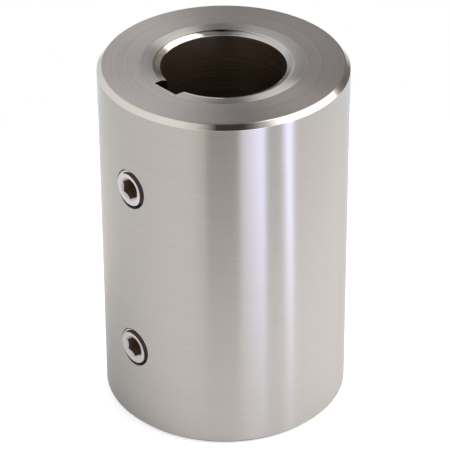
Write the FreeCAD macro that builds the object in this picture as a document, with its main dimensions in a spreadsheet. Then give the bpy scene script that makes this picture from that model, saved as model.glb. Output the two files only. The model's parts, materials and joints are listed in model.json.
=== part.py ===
import FreeCAD, Part
import os
import Sketcher

# A one-piece rigid shaft coupling: a turned steel sleeve with a keyed bore right through it
# and two socket set screws in line over the keyway, one for each shaft.
# Millimetres. The bore's axis is +Z, the lower end face lies on Z = 0, and the keyway and
# the screws face -Y.

# The driving dimensions: each is one row of the sheet, as alias, value and meaning.
SIZES = [
    ("sleeve_diameter", 50.8, "outside diameter of the sleeve, 2 inch"),
    ("sleeve_length", 76.2, "overall length of the sleeve, 3 inch"),
    ("outer_chamfer", 1.0, "45 degree chamfer round the rim of each end"),
    ("bore_diameter", 25.4, "shaft bore, 1 inch"),
    ("mouth_width", 1.2, "radial width of the shallow chamfer at each mouth of the bore"),
    ("mouth_depth", 0.53, "how far that chamfer falls across its width, about 24 degrees"),
    ("relief_diameter", 33.2, "ring on each end face inside which the face dishes towards the bore"),
    ("relief_depth", 0.17, "depth of that dish where it meets the chamfer of the bore"),
    ("keyway_width", 6.35, "broached keyway, 1/4 inch"),
    ("keyway_depth", 2.9, "from the bore wall to the keyway floor, on the centre line"),
    ("keyway_corner", 0.25, "radius left by the broach along the keyway floor"),
    ("screw_end_distance", 19.05, "from each end of the sleeve to its screw, 3/4 inch"),
    ("thread_diameter", 7.9375, "major diameter of the screw thread, 5/16 inch"),
    ("thread_clearance", 0.05, "radial gap between a screw and its tapped hole"),
    ("countersink_diameter", 8.6, "mouth of a tapped hole, on the line of the outside diameter"),
    ("screw_length", 9.525, "overall length of a set screw, 3/8 inch"),
    ("screw_recess", 0.1, "outer face of a screw below the line of the outside diameter"),
    ("face_diameter", 6.6, "outer face of a screw, inside its 45 degree chamfer"),
    ("socket_width", 3.97, "hexagon socket across its flats, 5/32 inch"),
    ("socket_depth", 4.0, "depth of the hexagon's flats"),
    ("socket_mouth", 5.7, "diameter of the drilled cone that leads into the socket"),
    ("pilot_diameter", 3.8, "hole drilled before the hexagon is broached"),
    ("cup_diameter", 4.2, "sharp rim of the cup point"),
    ("drill_angle", 118, "included angle of every drilled cone in a screw, degrees"),
]

doc = FreeCAD.newDocument("rigid_shaft_coupling")


def make_sheet():
    """Put the driving dimensions into the spreadsheet that every sketch and feature reads."""
    sheet = doc.addObject("Spreadsheet::Sheet", "sizes")
    for row, (alias, value, meaning) in enumerate(SIZES, start=1):
        sheet.set(f"A{row}", alias)
        sheet.set(f"B{row}", str(value))
        sheet.set(f"C{row}", meaning)
        sheet.setAlias(f"B{row}", alias)
    doc.recompute()
    return sheet


def origin_feature(body, role):
    """One of the body's own origin planes or axes, such as XY_Plane or Z_Axis."""
    return next(f for f in body.Origin.OriginFeatures if f.Role == role)


def closed_profile(body, name, role, corners, height=None):
    """A sketch of straight lines through corners, each a pair of expressions on the sheet.

    Every corner is held by its distances from the sketch's two axes. height, an expression,
    lifts the sketch along its own vertical axis.
    """
    sketch = body.newObject("Sketcher::SketchObject", name)
    sketch.AttachmentSupport = [(origin_feature(body, role), "")]
    sketch.MapMode = "FlatFace"
    if height:
        sketch.setExpression("AttachmentOffset.Base.y", height)
    places = [
        FreeCAD.Vector(float(sketch.evalExpression(across)), float(sketch.evalExpression(up)), 0)
        for across, up in corners
    ]
    for start, end in zip(places, places[1:] + places[:1]):
        sketch.addGeometry(Part.LineSegment(start, end), False)
    for line, (across, up) in enumerate(corners):
        previous = (line - 1) % len(corners)
        sketch.addConstraint(Sketcher.Constraint("Coincident", previous, 2, line, 1))
        hold(sketch, "DistanceX", line, places[line].x, across)
        hold(sketch, "DistanceY", line, places[line].y, up)
    return sketch


def hold(sketch, kind, line, value, expression):
    """Fix the start of a line at an expression's distance from the axis that kind measures from."""
    vertical_axis, horizontal_axis = -2, -1
    if expression == "0":
        axis = vertical_axis if kind == "DistanceX" else horizontal_axis
        sketch.addConstraint(Sketcher.Constraint("PointOnObject", line, 1, axis))
        return
    index = sketch.addConstraint(Sketcher.Constraint(kind, -1, 1, line, 1, value))
    sketch.setExpression(f"Constraints[{index}]", expression)


def turned(body, name, kind, sketch, axis):
    """Spin a profile all the way round an axis of its sketch, to add or to cut."""
    feature = body.newObject(kind, name)
    feature.Profile = sketch
    feature.ReferenceAxis = (sketch, [axis])
    feature.Angle = 360
    doc.recompute()
    return feature


def cut_something(feature, before):
    """Stop if a cutting feature took nothing away from the shape before it."""
    if feature.Shape.Volume >= before.Shape.Volume:
        raise RuntimeError(f"{feature.Label} cuts nothing")


def make_sleeve():
    """The sleeve, turned and bored, then broached, then drilled and countersunk for its screws."""
    body = doc.addObject("PartDesign::Body", "coupling_sleeve")

    bore = "sizes.bore_diameter / 2"
    mouth = "sizes.bore_diameter / 2 + sizes.mouth_width"
    relief = "sizes.relief_diameter / 2"
    rim = "sizes.sleeve_diameter / 2 - sizes.outer_chamfer"
    outside = "sizes.sleeve_diameter / 2"
    wall_end = "sizes.relief_depth + sizes.mouth_depth"
    section = closed_profile(body, "sleeve_section", "XZ_Plane", [
        (bore, wall_end),
        (mouth, "sizes.relief_depth"),
        (relief, "0"),
        (rim, "0"),
        (outside, "sizes.outer_chamfer"),
        (outside, "sizes.sleeve_length - sizes.outer_chamfer"),
        (rim, "sizes.sleeve_length"),
        (relief, "sizes.sleeve_length"),
        (mouth, "sizes.sleeve_length - sizes.relief_depth"),
        (bore, f"sizes.sleeve_length - ({wall_end})"),
    ])
    blank = turned(body, "turned_blank", "PartDesign::Revolution", section, "V_Axis")

    # The keyway is cut from the bore's axis outwards, so that only its floor and sides meet metal.
    side = "sizes.keyway_width / 2"
    floor = "-(sizes.bore_diameter / 2 + sizes.keyway_depth)"
    slot = closed_profile(body, "keyway_section", "XY_Plane", [
        (f"-{side}", floor), (side, floor), (side, "0"), (f"-{side}", "0"),
    ])
    keyway = body.newObject("PartDesign::Pocket", "keyway")
    keyway.Profile = slot
    keyway.Type = "ThroughAll"
    keyway.Reversed = True
    doc.recompute()
    cut_something(keyway, blank)

    half_width, depth = keyway.evalExpression(side), -keyway.evalExpression(floor)
    corners = body.newObject("PartDesign::Fillet", "keyway_corners")
    corners.Base = (keyway, floor_edges(keyway.Shape, half_width, depth))
    corners.setExpression("Radius", "sizes.keyway_corner")
    doc.recompute()

    # A tapped hole is plain at the thread's major diameter. Its countersink is a 45 degree cone,
    # carried past the outside so that it opens through the curved surface all the way round.
    hole = "sizes.thread_diameter / 2 + sizes.thread_clearance"
    cone = "sizes.countersink_diameter / 2"
    beyond = "sizes.countersink_diameter / 2"
    drilling = closed_profile(body, "screw_hole_section", "YZ_Plane", [
        ("0", "0"),
        (f"-({outside} + {beyond})", "0"),
        (f"-({outside} + {beyond})", f"{cone} + {beyond}"),
        (f"-({outside} - ({cone} - ({hole})))", hole),
        ("0", hole),
    ], height="sizes.screw_end_distance")
    lower_hole = turned(body, "lower_screw_hole", "PartDesign::Groove", drilling, "H_Axis")
    cut_something(lower_hole, corners)

    both_holes = body.newObject("PartDesign::LinearPattern", "screw_holes")
    both_holes.Originals = [lower_hole]
    both_holes.Direction = (origin_feature(body, "Z_Axis"), [""])
    both_holes.Occurrences = 2
    both_holes.setExpression("Length", "sizes.sleeve_length - 2 * sizes.screw_end_distance")
    body.Tip = both_holes
    doc.recompute()
    cut_something(both_holes, lower_hole)
    return body


def floor_edges(shape, half_width, depth):
    """The names of the two long edges where the keyway's floor meets its sides."""
    close = 1e-4

    def on_floor_corner(vertex):
        return abs(abs(vertex.X) - half_width) < close and abs(vertex.Y + depth) < close

    return [
        f"Edge{i}" for i, edge in enumerate(shape.Edges, start=1)
        if edge.BoundBox.XLength < close and all(on_floor_corner(v) for v in edge.Vertexes)
    ]


def make_set_screw(label, height):
    """A cup-point set screw, turned about its own Z with the outer face on Z = 0, then set in place.

    height is the expression for its axis above the sleeve's lower end.
    """
    body = doc.addObject("PartDesign::Body", label)

    face = "sizes.face_diameter / 2"
    thread = "sizes.thread_diameter / 2"
    cup = "sizes.cup_diameter / 2"
    tip = "sizes.screw_length"
    section = closed_profile(body, f"{label}_section", "XZ_Plane", [
        ("0", "0"),
        (face, "0"),
        (thread, f"-({thread} - {face})"),
        (thread, f"-({tip} - ({thread} - {cup}))"),
        (cup, f"-{tip}"),
        ("0", f"-({tip} - {cup} / tan(sizes.drill_angle * 0.5 deg))"),
    ])
    blank = turned(body, f"{label}_blank", "PartDesign::Revolution", section, "V_Axis")

    # The pilot hole: the cone at its mouth, its wall, and the drill's point.
    pilot = "sizes.pilot_diameter / 2"
    mouth = "sizes.socket_mouth / 2"
    drilling = closed_profile(body, f"{label}_pilot_section", "XZ_Plane", [
        ("0", "0"),
        (mouth, "0"),
        (pilot, f"-({mouth} - {pilot}) / tan(sizes.drill_angle * 0.5 deg)"),
        (pilot, "-sizes.socket_depth"),
        ("0", f"-(sizes.socket_depth + {pilot} / tan(sizes.drill_angle * 0.5 deg))"),
    ])
    drilled = turned(body, f"{label}_pilot", "PartDesign::Groove", drilling, "V_Axis")
    cut_something(drilled, blank)

    # The hexagon has two corners on Y, which stand in line with the sleeve once the screw is in.
    flat = "sizes.socket_width / 2"
    low = "sizes.socket_width / (2 * sqrt(3))"
    high = "sizes.socket_width / sqrt(3)"
    hexagon = closed_profile(body, f"{label}_hexagon", "XY_Plane", [
        ("0", f"-{high}"), (flat, f"-{low}"), (flat, low),
        ("0", high), (f"-{flat}", low), (f"-{flat}", f"-{low}"),
    ])
    socket = body.newObject("PartDesign::Pocket", f"{label}_socket")
    socket.Profile = hexagon
    socket.Type = "Length"
    socket.setExpression("Length", "sizes.socket_depth")
    doc.recompute()
    cut_something(socket, drilled)

    # Turning about X by a quarter points the outer face to -Y.
    body.Placement = FreeCAD.Placement(
        FreeCAD.Vector(0, 0, 0), FreeCAD.Rotation(FreeCAD.Vector(1, 0, 0), 90)
    )
    body.setExpression("Placement.Base.y", "-(sizes.sleeve_diameter / 2 - sizes.screw_recess)")
    body.setExpression("Placement.Base.z", height)
    return body


def check_and_export(pieces):
    """Stop on any failed object or bad shape, then write one STEP file for each piece."""
    failed = [o.Label for o in doc.Objects if {"Invalid", "Error"} & set(o.State)]
    if failed:
        raise RuntimeError(f"failed: {', '.join(failed)}")
    for piece in pieces:
        shape = piece.Shape
        if shape.isNull() or not shape.isValid() or len(shape.Solids) != 1:
            raise RuntimeError(f"{piece.Label} isn't one valid solid")
    os.makedirs("parts", exist_ok=True)
    for piece in pieces:
        piece.Shape.exportStep(f"parts/{piece.Label}.step")
        print(f"{piece.Label}: {piece.Shape.Volume:.1f} mm3")


make_sheet()
sleeve = make_sleeve()
lower_screw = make_set_screw("lower_set_screw", "sizes.screw_end_distance")
upper_screw = make_set_screw("upper_set_screw", "sizes.sleeve_length - sizes.screw_end_distance")
doc.recompute()
check_and_export([sleeve, lower_screw, upper_screw])
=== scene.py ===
import json
import math

import bmesh
import bpy
import numpy as np
from mathutils import Matrix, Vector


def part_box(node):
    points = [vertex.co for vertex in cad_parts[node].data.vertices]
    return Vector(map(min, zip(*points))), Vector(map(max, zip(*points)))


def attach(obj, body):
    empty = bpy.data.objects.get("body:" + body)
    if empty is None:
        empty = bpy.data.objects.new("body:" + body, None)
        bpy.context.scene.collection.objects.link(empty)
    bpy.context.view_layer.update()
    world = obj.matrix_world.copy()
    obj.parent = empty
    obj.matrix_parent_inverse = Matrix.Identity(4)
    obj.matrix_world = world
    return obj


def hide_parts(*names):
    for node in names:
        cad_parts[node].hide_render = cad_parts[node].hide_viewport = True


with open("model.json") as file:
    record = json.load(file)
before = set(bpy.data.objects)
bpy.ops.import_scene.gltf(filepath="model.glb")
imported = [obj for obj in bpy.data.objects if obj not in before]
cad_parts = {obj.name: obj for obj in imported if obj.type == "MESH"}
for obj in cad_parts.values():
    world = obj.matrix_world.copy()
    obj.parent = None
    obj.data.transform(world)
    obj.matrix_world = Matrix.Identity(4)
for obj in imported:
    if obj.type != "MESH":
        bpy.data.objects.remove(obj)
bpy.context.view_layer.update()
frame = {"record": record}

# Sleeve. A length of bright mild steel bar, turned, faced and bored in a lathe, with a keyway
# broached along the bore and two holes drilled, countersunk and tapped through the wall over it.
mm = 0.001
sleeve_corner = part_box("coupling_sleeve")[1]
sleeve_radius, sleeve_length = sleeve_corner.x, sleeve_corner.z
bore_mount = next(m for m in frame["record"]["mounts"] if m["name"] == "upper_shaft_bore")
bore_radius = bore_mount["dims"]["r_mm"] * mm
outer_chamfer = 1.0 * mm
mouth_width, mouth_depth = 1.2 * mm, 0.53 * mm
relief_radius, relief_depth = 16.6 * mm, 0.17 * mm
knee_radius, knee_depth = 15.2 * mm, 0.045 * mm  # nearer to the bore than this, the relief is steeper
keyway_width, keyway_floor, keyway_corner = 6.35 * mm, 15.6 * mm, 0.25 * mm
sleeve_rows_apart, sleeve_columns = 2.5 * mm, 480


def rounded(corners, sizes, steps=4, hold=0.05 * mm):
    """A closed outline with each corner replaced by a small curve.

    The curve leaves the corner's two sides at the distance size from it: with s from 0 to 1,
    a point is (1-s)^2 A + 2s(1-s) C + s^2 B, where A and B lie on the sides and C is the corner.
    One more point on each side, hold further out, keeps the sides flat where they are shaded.
    """
    corner = np.asarray(corners, float)
    size = np.reshape(np.broadcast_to(sizes, len(corner)), (-1, 1))
    towards_last = np.roll(corner, 1, 0) - corner
    towards_next = np.roll(corner, -1, 0) - corner
    towards_last /= np.linalg.norm(towards_last, axis=1, keepdims=True)
    towards_next /= np.linalg.norm(towards_next, axis=1, keepdims=True)
    a, b = corner + size * towards_last, corner + size * towards_next
    s = np.linspace(0, 1, steps + 1)[None, :, None]
    curve = (1 - s) ** 2 * a[:, None] + 2 * s * (1 - s) * corner[:, None] + s**2 * b[:, None]
    before, after = (a + hold * towards_last)[:, None], (b + hold * towards_next)[:, None]
    return np.concatenate([before, curve, after], 1).reshape(-1, 2)


def with_rows(outline, spacing):
    """A closed outline with extra points, evenly spaced, on each stretch longer than spacing.

    The points of a stretch from A to B are A (1 - i / n) + B i / n, for i from 0 to n - 1.
    """
    ends = np.roll(outline, -1, 0)
    counts = np.maximum(np.ceil(np.linalg.norm(ends - outline, axis=1) / spacing).astype(int), 1)
    stretch = np.repeat(np.arange(len(outline)), counts)
    first = np.repeat(np.cumsum(counts) - counts, counts)
    share = ((np.arange(counts.sum()) - first) / counts[stretch])[:, None]
    return outline[stretch] * (1 - share) + ends[stretch] * share


def surface(name, points, close_rows, close_columns):
    """A mesh object from a grid of points (rows, columns, 3), a quad between each four neighbours.

    Closing the rows joins the last row to the first, and closing the columns does so across.
    """
    rows, columns = points.shape[:2]
    here = np.arange(rows * columns).reshape(rows, columns)
    row = np.arange(rows if close_rows else rows - 1)
    column = np.arange(columns if close_columns else columns - 1)
    r, c = np.meshgrid(row, column, indexing="ij")
    down, right = (r + 1) % rows, (c + 1) % columns
    quads = np.stack([here[r, c], here[r, right], here[down, right], here[down, c]], -1)
    mesh = bpy.data.meshes.new(name)
    mesh.from_pydata(points.reshape(-1, 3), [], quads.reshape(-1, 4))
    thing = bpy.data.objects.new(name, mesh)
    bpy.context.scene.collection.objects.link(thing)
    return thing


def closed_up(thing, merge=0.0):
    """Merge points closer than merge, fill the open ends, and turn every face outwards."""
    work = bmesh.new()
    work.from_mesh(thing.data)
    if merge:
        bmesh.ops.remove_doubles(work, verts=work.verts, dist=merge)
        bmesh.ops.dissolve_degenerate(work, dist=merge, edges=work.edges)
    bmesh.ops.holes_fill(work, edges=[e for e in work.edges if e.is_boundary])
    bmesh.ops.recalc_face_normals(work, faces=work.faces)
    work.to_mesh(thing.data)
    work.free()
    return thing


def turned(name, outline, segments, ring=False):
    """An outline of (radius, height) carried round Z: (r cos a, r sin a, z).

    A ring's outline is closed. Any other runs from one flat end to the other.
    """
    angle = np.linspace(0, 2 * np.pi, segments, endpoint=False)
    radius, height = np.array(outline)[:, :1], np.array(outline)[:, 1:]
    points = np.stack([radius * np.cos(angle), radius * np.sin(angle), height + 0 * angle], -1)
    return closed_up(surface(name, points, ring, True))


half_section = np.array([
    (bore_radius, relief_depth + mouth_depth, 0.08 * mm),  # radius, distance from the end, rounding
    (bore_radius + mouth_width, relief_depth, 0.50 * mm),
    (knee_radius, knee_depth, 0.55 * mm),
    (relief_radius, 0, 0.40 * mm),
    (sleeve_radius - outer_chamfer, 0, 0.15 * mm),
    (sleeve_radius, outer_chamfer, 0.07 * mm),
])
other_half = half_section[::-1] * (1, -1, 1) + (0, sleeve_length, 0)
section = np.concatenate([half_section, other_half])
sleeve_outline = with_rows(rounded(section[:, :2], section[:, 2]), sleeve_rows_apart)
sleeve = turned("sleeve", sleeve_outline, sleeve_columns, ring=True)

# Threads. The holes are tapped 5/16-18 and the screws are cut to match: a 60 degree helical
# groove of 1.411 mm pitch. The tap and the screws are the same helix, a hair apart.
pitch = 25.4 / 18 * mm
thread_radius, thread_root, crest_flat = 7.9375 / 2 * mm, 3.05 * mm, 0.18 * mm
flank_slope = math.tan(math.radians(30))
tap_clearance, tapped_radius = 0.05 * mm, 3.35 * mm
tap_inner_end, tap_outer_end = -13 * mm, 3 * mm  # from the screw's face, past both sides of the wall
countersink_radius, countersink_reach = 4.3 * mm, 2 * mm
round_columns = 192
screw_proud = 0.12 * mm
screw_height = {
    name: (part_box(name)[0].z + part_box(name)[1].z) / 2 for name in ("lower_set_screw", "upper_set_screw")
}
thread_start = {"lower_set_screw": 235, "upper_set_screw": 220}  # degrees, where the crest meets the face
seam, sliver = 0.001 * mm, 0.0005 * mm  # points this close are one: at a helix's seam, and after a cut
crease = math.radians(25)  # bends of more than this are shaded as edges


def threaded(name, start, crest, root, flat, low, high, segments=96, across=12):
    """A closed threaded rod about Z: one pitch of its profile carried along a helix.

    At the turn t the profile's middle stands at t * pitch, at the angle start + 360 t degrees,
    and its radius falls from the crest to the root at 30 degrees from the plane across the
    axis. Both ends, where the heights are clipped, are coned down to the root, by twice as
    much in radius as in height.
    """
    turns = np.arange(math.floor(low / pitch - 1) * segments, math.ceil(high / pitch + 1) * segments + 1)
    turn = turns[:, None] / segments
    share = np.linspace(-0.5, 0.5, across + 1)[None, :]
    from_crest = np.maximum(abs(share) * pitch - flat / 2, 0)
    height = np.clip((turn + share) * pitch, low, high)
    radius = np.maximum(crest - from_crest / flank_slope, root)
    radius = np.minimum(radius, root + 2 * np.minimum(height - low, high - height))
    angle = 2 * np.pi * turn + math.radians(start)
    points = np.stack([radius * np.cos(angle), radius * np.sin(angle), height], -1)
    return closed_up(surface(name, points, False, False), merge=seam)


def into_wall(thing, height, face):
    """Turn a piece from its own frame, its outer face on z = 0 looking along +Z, to face -Y.

    (x, y, z) becomes (x, -(face + z), height + y).
    """
    co = np.empty(len(thing.data.vertices) * 3)
    thing.data.vertices.foreach_get("co", co)
    x, y, z = co.reshape(-1, 3).T
    thing.data.vertices.foreach_set("co", np.stack([x, -(face + z), height + y], -1).ravel())
    thing.data.update()
    return thing


def cut(thing, tools, how="DIFFERENCE"):
    """Take each tool's solid away from thing, or keep what they share, and close the mesh up."""
    for tool in tools:
        step = thing.modifiers.new(tool.name, "BOOLEAN")
        step.operation, step.object, step.solver = how, tool, "EXACT"
        bpy.context.view_layer.update()
        result = bpy.data.meshes.new_from_object(
            thing.evaluated_get(bpy.context.evaluated_depsgraph_get())
        )
        thing.modifiers.clear()
        thing.data = result
        closed_up(thing, merge=sliver)
        bpy.data.objects.remove(tool)


face_plane = sleeve_radius + screw_proud
sunk_at_face = countersink_radius + screw_proud
hole_tools = []
for name, height in screw_height.items():
    tap = threaded(f"tap_{name}", thread_start[name], thread_radius + tap_clearance,
                   tapped_radius, crest_flat + tap_clearance, tap_inner_end, tap_outer_end)
    drill = turned(f"drill_{name}", [
        (sunk_at_face - countersink_reach, -countersink_reach),
        (sunk_at_face + countersink_reach, countersink_reach),
    ], round_columns)
    hole_tools += [into_wall(tap, height, face_plane), into_wall(drill, height, face_plane)]

# Keyway. A slot for a 1/4 inch square key, pulled through the bore with a broach from end to end,
# in line with the screws. The sleeve is cut here, by the broach and then by the holes' tools.
half_keyway = keyway_width / 2
broach_past_end = 1 * mm
broach_section = rounded(
    [(-half_keyway, 0), (-half_keyway, -keyway_floor), (half_keyway, -keyway_floor), (half_keyway, 0)],
    keyway_corner,
)
broach_ends = np.array([-broach_past_end, sleeve_length + broach_past_end])
broach_points = np.concatenate([
    np.broadcast_to(broach_section[None], (2, *broach_section.shape)),
    np.broadcast_to(broach_ends[:, None, None], (2, len(broach_section), 1)),
], -1)
broach = closed_up(surface("broach", broach_points, False, True))
cut(sleeve, [broach, *hole_tools])
sleeve.data.shade_smooth()
sleeve.data.set_sharp_from_angle(angle=crease)


def linear(colour):
    """An sRGB hex colour as the linear values that the shaders take."""
    part = np.array([int(colour[i:i + 2], 16) for i in (1, 3, 5)]) / 255
    value = np.where(part <= 0.04045, part / 12.92, ((part + 0.055) / 1.055) ** 2.4)
    return (*value.tolist(), 1.0)


def add(tree, kind, settings=None, **inputs):
    """Add a node: settings are its properties, and inputs are values or sockets to link."""
    made = tree.nodes.new(kind)
    for key, value in (settings or {}).items():
        setattr(made, key, value)
    for key, value in inputs.items():
        socket = made.inputs[int(key[1:])] if key[0] == "_" else made.inputs[key.replace("_", " ")]
        if isinstance(value, bpy.types.NodeSocket):
            tree.links.new(value, socket)
        else:
            socket.default_value = value
    return made


def steel(name, colour, roughness, spread=0.0, apart=0.0, deep=0.0, streak=0.0, lean=0.0,
          centre=(0, 0, 0), axis=(0, 0, 1)):
    """Bare steel, cut on a machine.

    spread draws the highlights out across the tool marks, which run round the axis through
    centre. Where apart is given, the marks also show as noise in radius and height about Z, from
    twice to a quarter of apart in width and deep in depth, drawn out a hundred times round the
    axis. They brighten and darken the steel by the share streak, and lean tips their surface
    outwards from the axis, as the flanks of a facing tool's marks are.
    """
    material = bpy.data.materials.new(name)
    material.use_nodes = True
    tree = material.node_tree
    tree.nodes.clear()
    place = add(tree, "ShaderNodeTexCoord").outputs["Object"]
    looks = {"Base_Color": linear(colour)}
    if spread:
        offset = add(tree, "ShaderNodeVectorMath", {"operation": "SUBTRACT"}, _0=place, _1=centre).outputs[0]
        round_axis = add(tree, "ShaderNodeVectorMath", {"operation": "CROSS_PRODUCT"}, _0=axis, _1=offset)
        looks |= {"Anisotropic": spread, "Anisotropic_Rotation": 0.25, "Tangent": round_axis.outputs[0]}
    if apart:
        x_y_z = add(tree, "ShaderNodeSeparateXYZ", Vector=place).outputs
        flat = add(tree, "ShaderNodeCombineXYZ", X=x_y_z[0], Y=x_y_z[1]).outputs[0]
        radius = add(tree, "ShaderNodeVectorMath", {"operation": "LENGTH"}, _0=flat).outputs["Value"]
        across = add(tree, "ShaderNodeCombineXYZ", X=radius, Z=x_y_z[2]).outputs[0]
        drawn_out = add(tree, "ShaderNodeVectorMath", {"operation": "MULTIPLY_ADD"},
                        _0=flat, _1=(0.01, 0.01, 0), _2=across).outputs[0]
        marks = add(tree, "ShaderNodeTexNoise", Vector=drawn_out, Scale=0.5 / apart, Detail=3.0,
                    Roughness=0.7).outputs[0]
        level = add(tree, "ShaderNodeMapRange", {"clamp": False}, Value=marks, From_Min=0.3, From_Max=0.7,
                    To_Min=1 - streak, To_Max=1 + streak).outputs[0]
        looks["Base_Color"] = add(tree, "ShaderNodeVectorMath", {"operation": "SCALE"},
                                  _0=linear(colour)[:3], Scale=level).outputs[0]
        looks["Normal"] = add(tree, "ShaderNodeBump", Height=marks, Distance=deep, Strength=1.0).outputs[0]
    if apart and lean:
        outward = add(tree, "ShaderNodeVectorMath", {"operation": "NORMALIZE"}, _0=flat).outputs[0]
        tip = add(tree, "ShaderNodeVectorMath", {"operation": "SCALE"}, _0=outward, Scale=lean).outputs[0]
        tipped = add(tree, "ShaderNodeVectorMath", {"operation": "ADD"},
                     _0=looks["Normal"], _1=tip).outputs[0]
        looks["Normal"] = add(tree, "ShaderNodeVectorMath", {"operation": "NORMALIZE"}, _0=tipped).outputs[0]
    shader = add(tree, "ShaderNodeBsdfPrincipled", Metallic=1.0, Roughness=roughness, **looks)
    output = add(tree, "ShaderNodeOutputMaterial")
    tree.links.new(shader.outputs[0], output.inputs[0])
    return material


# Sleeve's finishes. A lathe tool's real marks are 0.05 to 0.1 mm apart, too fine to show, so they
# are drawn two to four times as coarse. The lighter colours are those of steel with a trace of oil on it;
# the dark ones of the bore, the keyway and the tapped holes are painted shade.
finishes = [
    # Turned: fine rings round the bar draw each lamp's reflection out into a soft upright band.
    steel("turned mild steel", "#BDB8B3", 0.28, 1.0, 0.2 * mm, 0.010 * mm, streak=0.03),
    # Faced: rings about the bore, in which light and shade fan out as wedges from the middle.
    steel("faced mild steel", "#D1C6BF", 0.245, 0.83, 0.2 * mm, 0.006 * mm, streak=0.06),
    # Relieved: faced on a slight slope, so its wedges stand elsewhere and show the step.
    steel("dished mild steel", "#CFC8C2", 0.30, 1.0, 0.2 * mm, 0.004 * mm, streak=0.04, lean=0.05),
    # Chamfered with the side of a tool: nearly a mirror, which gives each rim its bright line.
    steel("chamfered mild steel", "#D3CDC6", 0.07, 0.9),
    # Bored: coarse rings, with the colour painted dark and brown as the shade of a bore whose steel only
    # mirrors itself.
    steel("bored mild steel, painted shade", "#A08C78", 0.30, 0.7, 0.3 * mm, 0.003 * mm, streak=0.3),
    # Tapped: the holes' threads, painted nearly black as the shade deep in the holes.
    steel("tapped mild steel, painted shade", "#3A322D", 0.3),
    # Broached: the keyway, with a torn surface that hardly shines, painted near black as the shade of a slot
    # turned from the light.
    steel("broached mild steel, painted shade", "#3A2F28", 0.4),
    # Countersunk: smooth and plain, a thin grey line round each screw.
    steel("countersunk mild steel", "#94897F", 0.14),
]

# Each face of the mesh takes the finish of the zone that its middle is in. The small lengths added
# to a zone's limits let in the faces whose middles stand a hair to one side of the true surface.
side_zone, face_zone, dish_zone, chamfer_zone, bore_painted_shade_zone, tapped_painted_shade_zone, keyway_painted_shade_zone, sunk_zone = range(8)
end_depth, end_facing = 1.1 * mm, 0.2  # how near an end's faces are to it, and how far they look along Z
mouth_rim, keyway_inside, wall_inside = 14.2 * mm, 16 * mm, 12.8 * mm
sleeve.data.materials.clear()
for finish in finishes:
    sleeve.data.materials.append(finish)
count = len(sleeve.data.polygons)
centre, normal = np.empty(count * 3), np.empty(count * 3)
sleeve.data.polygons.foreach_get("center", centre)
sleeve.data.polygons.foreach_get("normal", normal)
x, y, z = centre.reshape(-1, 3).T
facing = abs(normal.reshape(-1, 3)[:, 2])
radius = np.hypot(x, y)
from_end = np.minimum(z, sleeve_length - z)
at_end = (from_end < end_depth) & (facing > end_facing)
in_keyway = (abs(x) < half_keyway + 0.01 * mm) & (y < 0) & (radius < keyway_inside)
zone = np.full(count, side_zone)
zone[at_end & (radius > relief_radius)] = face_zone
zone[at_end & (radius <= relief_radius)] = dish_zone
zone[at_end & (radius < mouth_rim)] = chamfer_zone
zone[at_end & (radius > sleeve_radius - outer_chamfer)] = chamfer_zone
zone[~at_end & (radius < bore_radius + 0.05 * mm)] = bore_painted_shade_zone
zone[in_keyway & (facing < end_facing)] = keyway_painted_shade_zone
for height in screw_height.values():
    from_axis = np.hypot(x, z - height)
    in_wall = (y < 0) & (radius > wall_inside) & (radius < sleeve_radius - 0.02 * mm)
    zone[in_wall & (from_axis < countersink_radius + 0.1 * mm)] = sunk_zone
    zone[in_wall & (from_axis < thread_radius + tap_clearance)] = tapped_painted_shade_zone
sleeve.data.polygons.foreach_set("material_index", zone)
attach(sleeve, "sleeve")
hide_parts("coupling_sleeve")

# Set screws. Two headless 5/16-18 cup point screws, turned and threaded from bright steel rod,
# with a drilled, coned and broached hexagon socket. They are screwed in from the side.
screw_length, face_radius, cup_radius = 9.525 * mm, 3.5 * mm, 2.1 * mm
blank_radius = thread_radius + 0.1 * mm  # of the rod, before its thread is cut
thread_bottom = -11 * mm
socket_width, socket_depth, socket_mouth = 3.9 * mm, 4.0 * mm, 2.45 * mm
pilot_radius, pilot_short = 1.9 * mm, 0.2 * mm
drill_slope = math.tan(math.radians(59))
socket_turn = {"lower_set_screw": 6, "upper_set_screw": 3}  # degrees, 0 puts corners on Z
cone_wider = 1 * mm
cone_top, pilot_top, hexagon_top, thread_top = 0.9 * mm, 1.2 * mm, 1.4 * mm, 1.5 * mm  # above the face
socket_columns = 96
tiny = 0.001 * mm


def hexagon_bar(name, width, turn, low, high):
    """A six-sided bar about Z: (r cos a, r sin a, z), with r the width over the root of 3.

    Its corners stand 30 degrees past each multiple of 60, plus turn.
    """
    angle = np.radians(turn + 30 + 60 * np.arange(6))[None, :]
    radius = width / math.sqrt(3)
    height = np.array([[low], [high]]) + 0 * angle
    points = np.stack([radius * np.cos(angle) + 0 * height, radius * np.sin(angle) + 0 * height, height], -1)
    return closed_up(surface(name, points, False, True))


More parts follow.
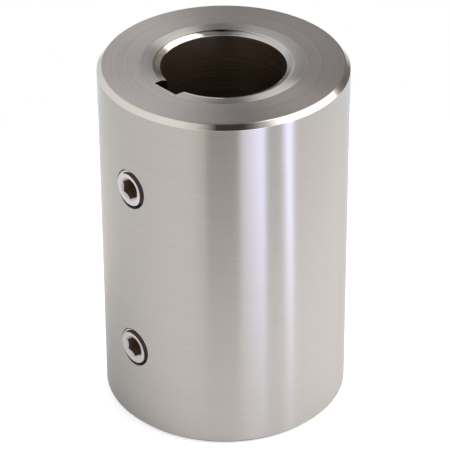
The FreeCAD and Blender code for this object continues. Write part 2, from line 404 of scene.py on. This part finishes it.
screw_finishes = [
    # Turned and faced: bright, with a slight fan of light round the face and its chamfer.
    ("machined", "#D2CECD", 0.24, 0.6),
    # Drilled: the socket's cone, a shade greyer and bluer than the face.
    ("drilled", "#B4B0B8", 0.24, 0.6),
    # Broached: the six-sided socket, rough, with its colour painted brown and dark as the shade deep inside
    # it.
    ("broached", "#A58E78", 0.5, 0.0),
    # Threaded: the flanks, painted dark as the shade in the gap round the face, which makes that ring look
    # black.
    ("threaded", "#3C3430", 0.3, 0.0),
]
machined_zone, drilled_zone, socket_painted_shade_zone, thread_painted_shade_zone = range(4)
socket_reach, cone_end, socket_end = 2.4 * mm, 1.5 * mm, 6 * mm  # from the axis, and two from the face
for name, height in screw_height.items():
    screw = turned(f"{name}_threaded", [
        (tiny, -screw_length + cup_radius / drill_slope),
        (cup_radius, -screw_length),
        (blank_radius, -screw_length + blank_radius - cup_radius),
        (blank_radius, face_radius - blank_radius),
        (face_radius, 0),
        (tiny, 0),
    ], round_columns)
    cone = turned("cone", [
        (tiny, -socket_mouth / drill_slope),
        (socket_mouth + cone_wider, cone_wider / drill_slope),
        (tiny, cone_top),
    ], socket_columns)
    pilot = turned("pilot", [
        (tiny, -socket_depth - pilot_radius / drill_slope),
        (pilot_radius, -socket_depth + pilot_short),
        (pilot_radius, pilot_top),
    ], socket_columns)
    hexagon = hexagon_bar("hexagon", socket_width, socket_turn[name], -socket_depth, hexagon_top)
    cut(screw, [cone, pilot, hexagon])
    rod = threaded("rod", thread_start[name], thread_radius, thread_root, crest_flat,
                   thread_bottom, thread_top)
    cut(screw, [rod], "INTERSECT")
    into_wall(screw, height, face_plane)
    screw.data.shade_smooth()
    screw.data.set_sharp_from_angle(angle=crease)
    screw.data.materials.clear()
    for finish, colour, roughness, spread in screw_finishes:
        screw.data.materials.append(steel(f"{finish} screw steel {name[:5]}", colour, roughness, spread,
                                          centre=(0, 0, height), axis=(0, -1, 0)))
    count = len(screw.data.polygons)
    centre, normal = np.empty(count * 3), np.empty(count * 3)
    screw.data.polygons.foreach_get("center", centre)
    screw.data.polygons.foreach_get("normal", normal)
    x, y, z = centre.reshape(-1, 3).T
    from_axis, from_face = np.hypot(x, z - height), y + face_plane
    looks_out = -normal.reshape(-1, 3)[:, 1]
    on_chamfer = (looks_out > 0.69) & (looks_out < 0.73)  # 45 degrees
    on_cone = (looks_out > 0.3) & (looks_out < 0.95)  # neither the socket's sides nor the flat face
    in_socket = (from_axis < socket_reach) & (from_face < socket_end)
    zone = np.full(count, machined_zone)
    zone[(from_axis > thread_root - 0.02 * mm) & (from_face > 0.01 * mm) & ~on_chamfer] = thread_painted_shade_zone
    zone[(from_axis < socket_mouth) & on_cone] = drilled_zone
    zone[in_socket & (looks_out < 0.3)] = socket_painted_shade_zone
    zone[in_socket & (from_face > cone_end)] = socket_painted_shade_zone
    screw.data.polygons.foreach_set("material_index", zone)
    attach(screw, name.replace("set_", ""))
    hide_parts(name)

# Floor and light. A small white table under the part, in a studio with pale walls, two bright
# strips of light and a large softbox to the right of the camera, a dark roof and the dark gap
# that the camera looks through. One soft lamp from the right throws the shadow to the left.
camera_azimuth = math.radians(47.65)
table_radius, table_glow = 120 * mm, 0.55  # the glow brings the card up to white for the camera
edge = np.linspace(0, 2 * np.pi, 96, endpoint=False)
rim = np.stack([table_radius * np.cos(edge), table_radius * np.sin(edge), 0 * edge], -1)
sheet = bpy.data.meshes.new("floor")
sheet.from_pydata(rim, [], [list(range(len(edge)))])
floor = bpy.data.objects.new("floor", sheet)
bpy.context.scene.collection.objects.link(floor)
card = bpy.data.materials.new("white card")
card.use_nodes = True
tree = card.node_tree
tree.nodes.clear()
path = add(tree, "ShaderNodeLightPath")
seen = add(tree, "ShaderNodeMath", {"operation": "MAXIMUM"},
           _0=path.outputs["Is Camera Ray"], _1=path.outputs["Is Transmission Ray"])
glow_level = add(tree, "ShaderNodeMath", {"operation": "MULTIPLY"}, _0=seen.outputs[0], _1=table_glow)
matt = add(tree, "ShaderNodeBsdfDiffuse", Color=linear("#DCDCDC"))
glow = add(tree, "ShaderNodeEmission", Color=(1, 1, 1, 1), Strength=glow_level.outputs[0])
both = add(tree, "ShaderNodeAddShader", _0=matt.outputs[0], _1=glow.outputs[0])
tree.links.new(both.outputs[0], add(tree, "ShaderNodeOutputMaterial").inputs[0])
floor.data.materials.append(card)

world = bpy.data.worlds.new("studio")
bpy.context.scene.world = world
world.use_nodes = True
tree = world.node_tree
tree.nodes.clear()
direction = add(tree, "ShaderNodeTexCoord").outputs["Generated"]
turned_round = add(tree, "ShaderNodeVectorRotate", {"rotation_type": "Z_AXIS"},
                   Vector=direction, Angle=-camera_azimuth).outputs[0]
x_y_z = add(tree, "ShaderNodeSeparateXYZ", Vector=turned_round).outputs
forward = add(tree, "ShaderNodeMath", {"operation": "MULTIPLY"}, _0=x_y_z[1], _1=-1.0).outputs[0]
angle = add(tree, "ShaderNodeMath", {"operation": "ARCTAN2"}, _0=x_y_z[0], _1=forward).outputs[0]
bearing = add(tree, "ShaderNodeMath", {"operation": "MULTIPLY"}, _0=angle, _1=180 / math.pi).outputs[0]
elevation = add(tree, "ShaderNodeMath", {"operation": "ARCSINE"}, _0=x_y_z[2]).outputs[0]
neutral, cool, warm, lamp_white = "#FFFFFF", "#F4F9FF", "#FFF6EF", "#CDD3FF"


def around(stops):
    """The light all round at one height, from (degrees right of the camera, brightness, colour)."""
    share = add(tree, "ShaderNodeMapRange", Value=bearing, From_Min=-180.0, From_Max=180.0)
    ramp = add(tree, "ShaderNodeValToRGB", Fac=share.outputs[0])
    marks = ramp.color_ramp.elements
    while len(marks) < len(stops):
        marks.new(0.5)
    for mark, (degrees, brightness, colour) in zip(marks, stops):
        mark.position = degrees / 360 + 0.5
        mark.color = (*(np.array(linear(colour)[:3]) * brightness).tolist(), 1.0)
    return ramp.outputs[0]


def strip(start, end, dim, bright):
    """A strip light between two bearings, which brightens evenly from dim to bright across it."""
    level = add(tree, "ShaderNodeMapRange", {"clamp": False}, Value=bearing, From_Min=start,
                From_Max=end, To_Min=dim, To_Max=bright).outputs[0]
    begun = add(tree, "ShaderNodeMath", {"operation": "GREATER_THAN"}, _0=bearing, _1=start).outputs[0]
    unended = add(tree, "ShaderNodeMath", {"operation": "LESS_THAN"}, _0=bearing, _1=end).outputs[0]
    inside = add(tree, "ShaderNodeMath", {"operation": "MULTIPLY"}, _0=begun, _1=unended).outputs[0]
    light = add(tree, "ShaderNodeMath", {"operation": "MULTIPLY"}, _0=level, _1=inside).outputs[0]
    return add(tree, "ShaderNodeVectorMath", {"operation": "SCALE"},
               _0=linear(lamp_white)[:3], Scale=light).outputs[0]


def past(start, end):
    """0 at one bearing and 1 at the other, in degrees, rising evenly from one to the other."""
    return add(tree, "ShaderNodeMapRange", Value=bearing, From_Min=start, From_Max=end).outputs[0]


def between(low, high):
    """0 below one elevation and 1 above the other, in degrees, rising evenly from one to the other."""
    return add(tree, "ShaderNodeMapRange", Value=elevation, From_Min=math.radians(low),
               From_Max=math.radians(high)).outputs[0]


def above(bearings, elevations, soft=2):
    """1 above a slanted edge, which rises from one elevation to another between two bearings."""
    slant = add(tree, "ShaderNodeMapRange", Value=bearing, From_Min=bearings[0], From_Max=bearings[1],
                To_Min=math.radians(elevations[0]), To_Max=math.radians(elevations[1])).outputs[0]
    over = add(tree, "ShaderNodeMath", {"operation": "SUBTRACT"}, _0=elevation, _1=slant).outputs[0]
    return add(tree, "ShaderNodeMapRange", Value=over, From_Min=math.radians(-soft),
               From_Max=math.radians(soft)).outputs[0]


def blend(share, below, above):
    """Mix two lights by a share."""
    return add(tree, "ShaderNodeMix", {"data_type": "RGBA", "blend_type": "MIX"},
               _0=share, _6=below, _7=above).outputs[2]


# The six lists of stops. Their bearings were placed one by one. From the walls up and in the softbox,
# their brightnesses come from a program that fitted them to the photograph by least squares, and were
# then rounded and adjusted by hand. Those of the sheet were set one by one.

# Below the horizon: the white sheet round the part, dark where the camera leans over it.
sheet_light = around([
    (-180, 1.45, cool), (-160, 1.25, cool), (-140, 1.02, cool), (-120, 0.88, neutral), (-75, 0.94, neutral),
    (-30, 0.93, neutral), (-16, 0.7, warm), (-15, 0.28, warm), (12.5, 0.28, warm), (13.5, 0.8, neutral),
    (35, 0.55, neutral), (49, 0.55, neutral), (62, 0.72, neutral), (80, 0.85, neutral), (110, 1.0, neutral),
    (135, 1.3, cool), (150, 1.4, cool), (161, 1.2, cool), (170, 1.35, cool), (179, 1.5, cool),
])
# From the horizon up: the pale walls, dark behind the camera and under the softbox.
wall_light = around([
    (-180, 0.2, cool), (-166, 0.22, cool), (-158, 0.45, cool), (-150, 0.92, cool), (-140, 0.97, cool),
    (-120, 1.05, neutral), (-75, 1.0, neutral), (-30, 1.1, neutral), (-16, 0.85, warm), (-15, 0.3, warm),
    (12.5, 0.3, warm), (13.5, 1.2, neutral), (35, 0.9, cool), (49, 0.9, cool), (62, 1.0, neutral),
    (119, 1.1, neutral), (123, 0.12, warm), (140, 0.22, warm), (155, 0.25, warm), (165, 0.12, warm),
    (172, 0.5, neutral), (179, 1.2, neutral),
])
# From 16 degrees up: the walls' middle, with no gap, because the camera looks down over it.
middle_light = around([
    (-180, 0.75, cool), (-175, 1.05, cool), (-168, 0.55, cool), (-158, 0.5, cool), (-150, 0.73, cool),
    (-141, 0.97, cool), (-120, 0.97, neutral), (-75, 1.08, neutral), (-45, 1.08, neutral),
    (-20, 1.0, neutral), (20, 1.05, neutral), (40, 0.9, neutral), (60, 1.0, neutral), (119, 0.9, neutral),
    (125, 0.4, warm), (140, 0.17, warm), (152, 0.34, warm), (160, 0.25, warm), (179, 0.02, warm),
])
# From 36 degrees up: the walls' top, shaded behind the camera.
high_light = around([
    (-180, 0.04, cool), (-176, 0.37, cool), (-172, 0.96, cool), (-160, 0.78, cool), (-145, 0.8, cool),
    (-100, 1.0, neutral), (-70, 1.06, neutral), (-45, 1.05, neutral), (-20, 0.82, neutral),
    (0, 0.66, neutral), (20, 0.68, neutral), (40, 0.88, neutral), (57, 1.0, neutral), (120, 0.7, neutral),
    (165, 0.45, neutral), (170, 0.05, warm), (179, 0, warm),
])
# From 52 degrees up: the dark roof over the camera, and pale cloth on both sides of it.
roof_light = around([
    (-180, 0, cool), (-170, 0.12, cool), (-160, 0.54, cool), (-145, 0.78, cool), (-100, 1.05, neutral),
    (-75, 1.1, neutral), (-50, 1.0, neutral), (-34, 0.8, neutral), (-20, 0.43, warm), (-9, 0.05, warm),
    (23, 0.05, warm), (34, 0.18, warm), (44, 0.48, neutral), (57, 0.8, neutral), (120, 0.58, neutral),
    (165, 0.28, neutral), (175, 0.02, warm), (179, 0, warm),
])
# The softbox, which is seen through a slanted window in those layers.
softbox_light = around([
    (50, 0.7, neutral), (62, 1.7, neutral), (74, 2.0, neutral), (84, 2.5, neutral), (111, 2.5, neutral),
    (119, 2.15, neutral), (135, 2.0, neutral), (150, 1.9, neutral), (160, 2.4, neutral), (166, 1.8, neutral),
])
black, zenith = (0, 0, 0, 1), (0.19, 0.19, 0.19, 1)
sheet_share = 0.45  # of the strips' light, which the sheet gives back below the horizon
strips = add(tree, "ShaderNodeVectorMath", {"operation": "ADD"},
             _0=strip(13.5, 36, 0.4, 3.3), _1=strip(52, 61.5, 0.6, 5.2)).outputs[0]
strips = blend(between(-45, -10), blend(sheet_share, black, strips), strips)
sides = blend(between(-16, 0), sheet_light, wall_light)
tent = add(tree, "ShaderNodeVectorMath", {"operation": "ADD"}, _0=sides, _1=strips).outputs[0]
layers = [(10, 22, middle_light), (32, 40, high_light), (48, 56, roof_light), (66, 78, zenith)]
for low, high, layer in layers:
    tent = blend(between(low, high), tent, layer)
in_height = add(tree, "ShaderNodeMath", {"operation": "SUBTRACT"},
                _0=above((115, 145), (20, 41)), _1=above((140, 168), (73, 55))).outputs[0]
in_width = add(tree, "ShaderNodeMath", {"operation": "SUBTRACT"},
               _0=past(48, 52), _1=past(165, 168)).outputs[0]
in_box = add(tree, "ShaderNodeMath", {"operation": "MULTIPLY"}, _0=in_height, _1=in_width).outputs[0]
studio = blend(in_box, tent, softbox_light)
path = add(tree, "ShaderNodeLightPath")
seen = add(tree, "ShaderNodeMath", {"operation": "MAXIMUM"},
           _0=path.outputs["Is Camera Ray"], _1=path.outputs["Is Transmission Ray"]).outputs[0]
shown = blend(seen, studio, (1, 1, 1, 1))
background = add(tree, "ShaderNodeBackground", Color=shown, Strength=1.0)
tree.links.new(background.outputs[0], add(tree, "ShaderNodeOutputWorld").inputs[0])


def soft_lamp(name, azimuth, elevation, distance, size, watts):
    """A square lamp, some degrees right of the camera and up, looking at the middle of the part.

    It lights the part but isn't mirrored in it, because the studio's reflections are whole.
    """
    light = bpy.data.lights.new(name, "AREA")
    light.shape, light.size, light.energy = "SQUARE", size, watts
    lamp = bpy.data.objects.new(name, light)
    around_z, rise = camera_azimuth + math.radians(azimuth), math.radians(elevation)
    out = np.array([
        math.sin(around_z) * math.cos(rise),
        -math.cos(around_z) * math.cos(rise),
        math.sin(rise),
    ])
    lamp.location = out * distance + np.array([0, 0, sleeve_length / 2])
    lamp.rotation_euler = (math.pi / 2 - rise, 0, around_z)
    lamp.visible_glossy = False
    bpy.context.scene.collection.objects.link(lamp)


soft_lamp("key", azimuth=75, elevation=55, distance=0.42, size=0.25, watts=1.35)
soft_lamp("back", azimuth=180, elevation=35, distance=0.35, size=0.2, watts=0.5)

# Camera. It stands where the photograph was taken from, 48 degrees round to the right of the
# screws and 32 degrees up, and looks at the middle of the part. A fit to the part's outline in
# the photograph gave these values.
camera_elevation, camera_roll = math.radians(32.484), math.radians(-0.350)
camera_distance = 553.5 * mm
focal_pixels, frame_pixels, film = 2669.1, 450, 36.0
aim_across, aim_height = 0.080 * mm, 37.74 * mm
back = np.array([
    math.sin(camera_azimuth) * math.cos(camera_elevation),
    -math.cos(camera_azimuth) * math.cos(camera_elevation),
    math.sin(camera_elevation),
])
right = np.array([math.cos(camera_azimuth), math.sin(camera_azimuth), 0])
up = np.cross(back, right)
rolled_right = math.cos(camera_roll) * right + math.sin(camera_roll) * up
rolled_up = math.cos(camera_roll) * up - math.sin(camera_roll) * right
lens = bpy.data.cameras.new("camera")
lens.sensor_width, lens.lens = film, focal_pixels / frame_pixels * film
camera = bpy.data.objects.new("camera", lens)
pose = np.eye(4)
pose[:3, :3] = np.stack([rolled_right, rolled_up, back], -1)
pose[:3, 3] = back * camera_distance + right * aim_across + np.array([0, 0, aim_height])
camera.matrix_world = Matrix(pose.tolist())
bpy.context.scene.collection.objects.link(camera)
bpy.context.scene.camera = camera
bpy.context.scene.view_settings.view_transform = "Standard"
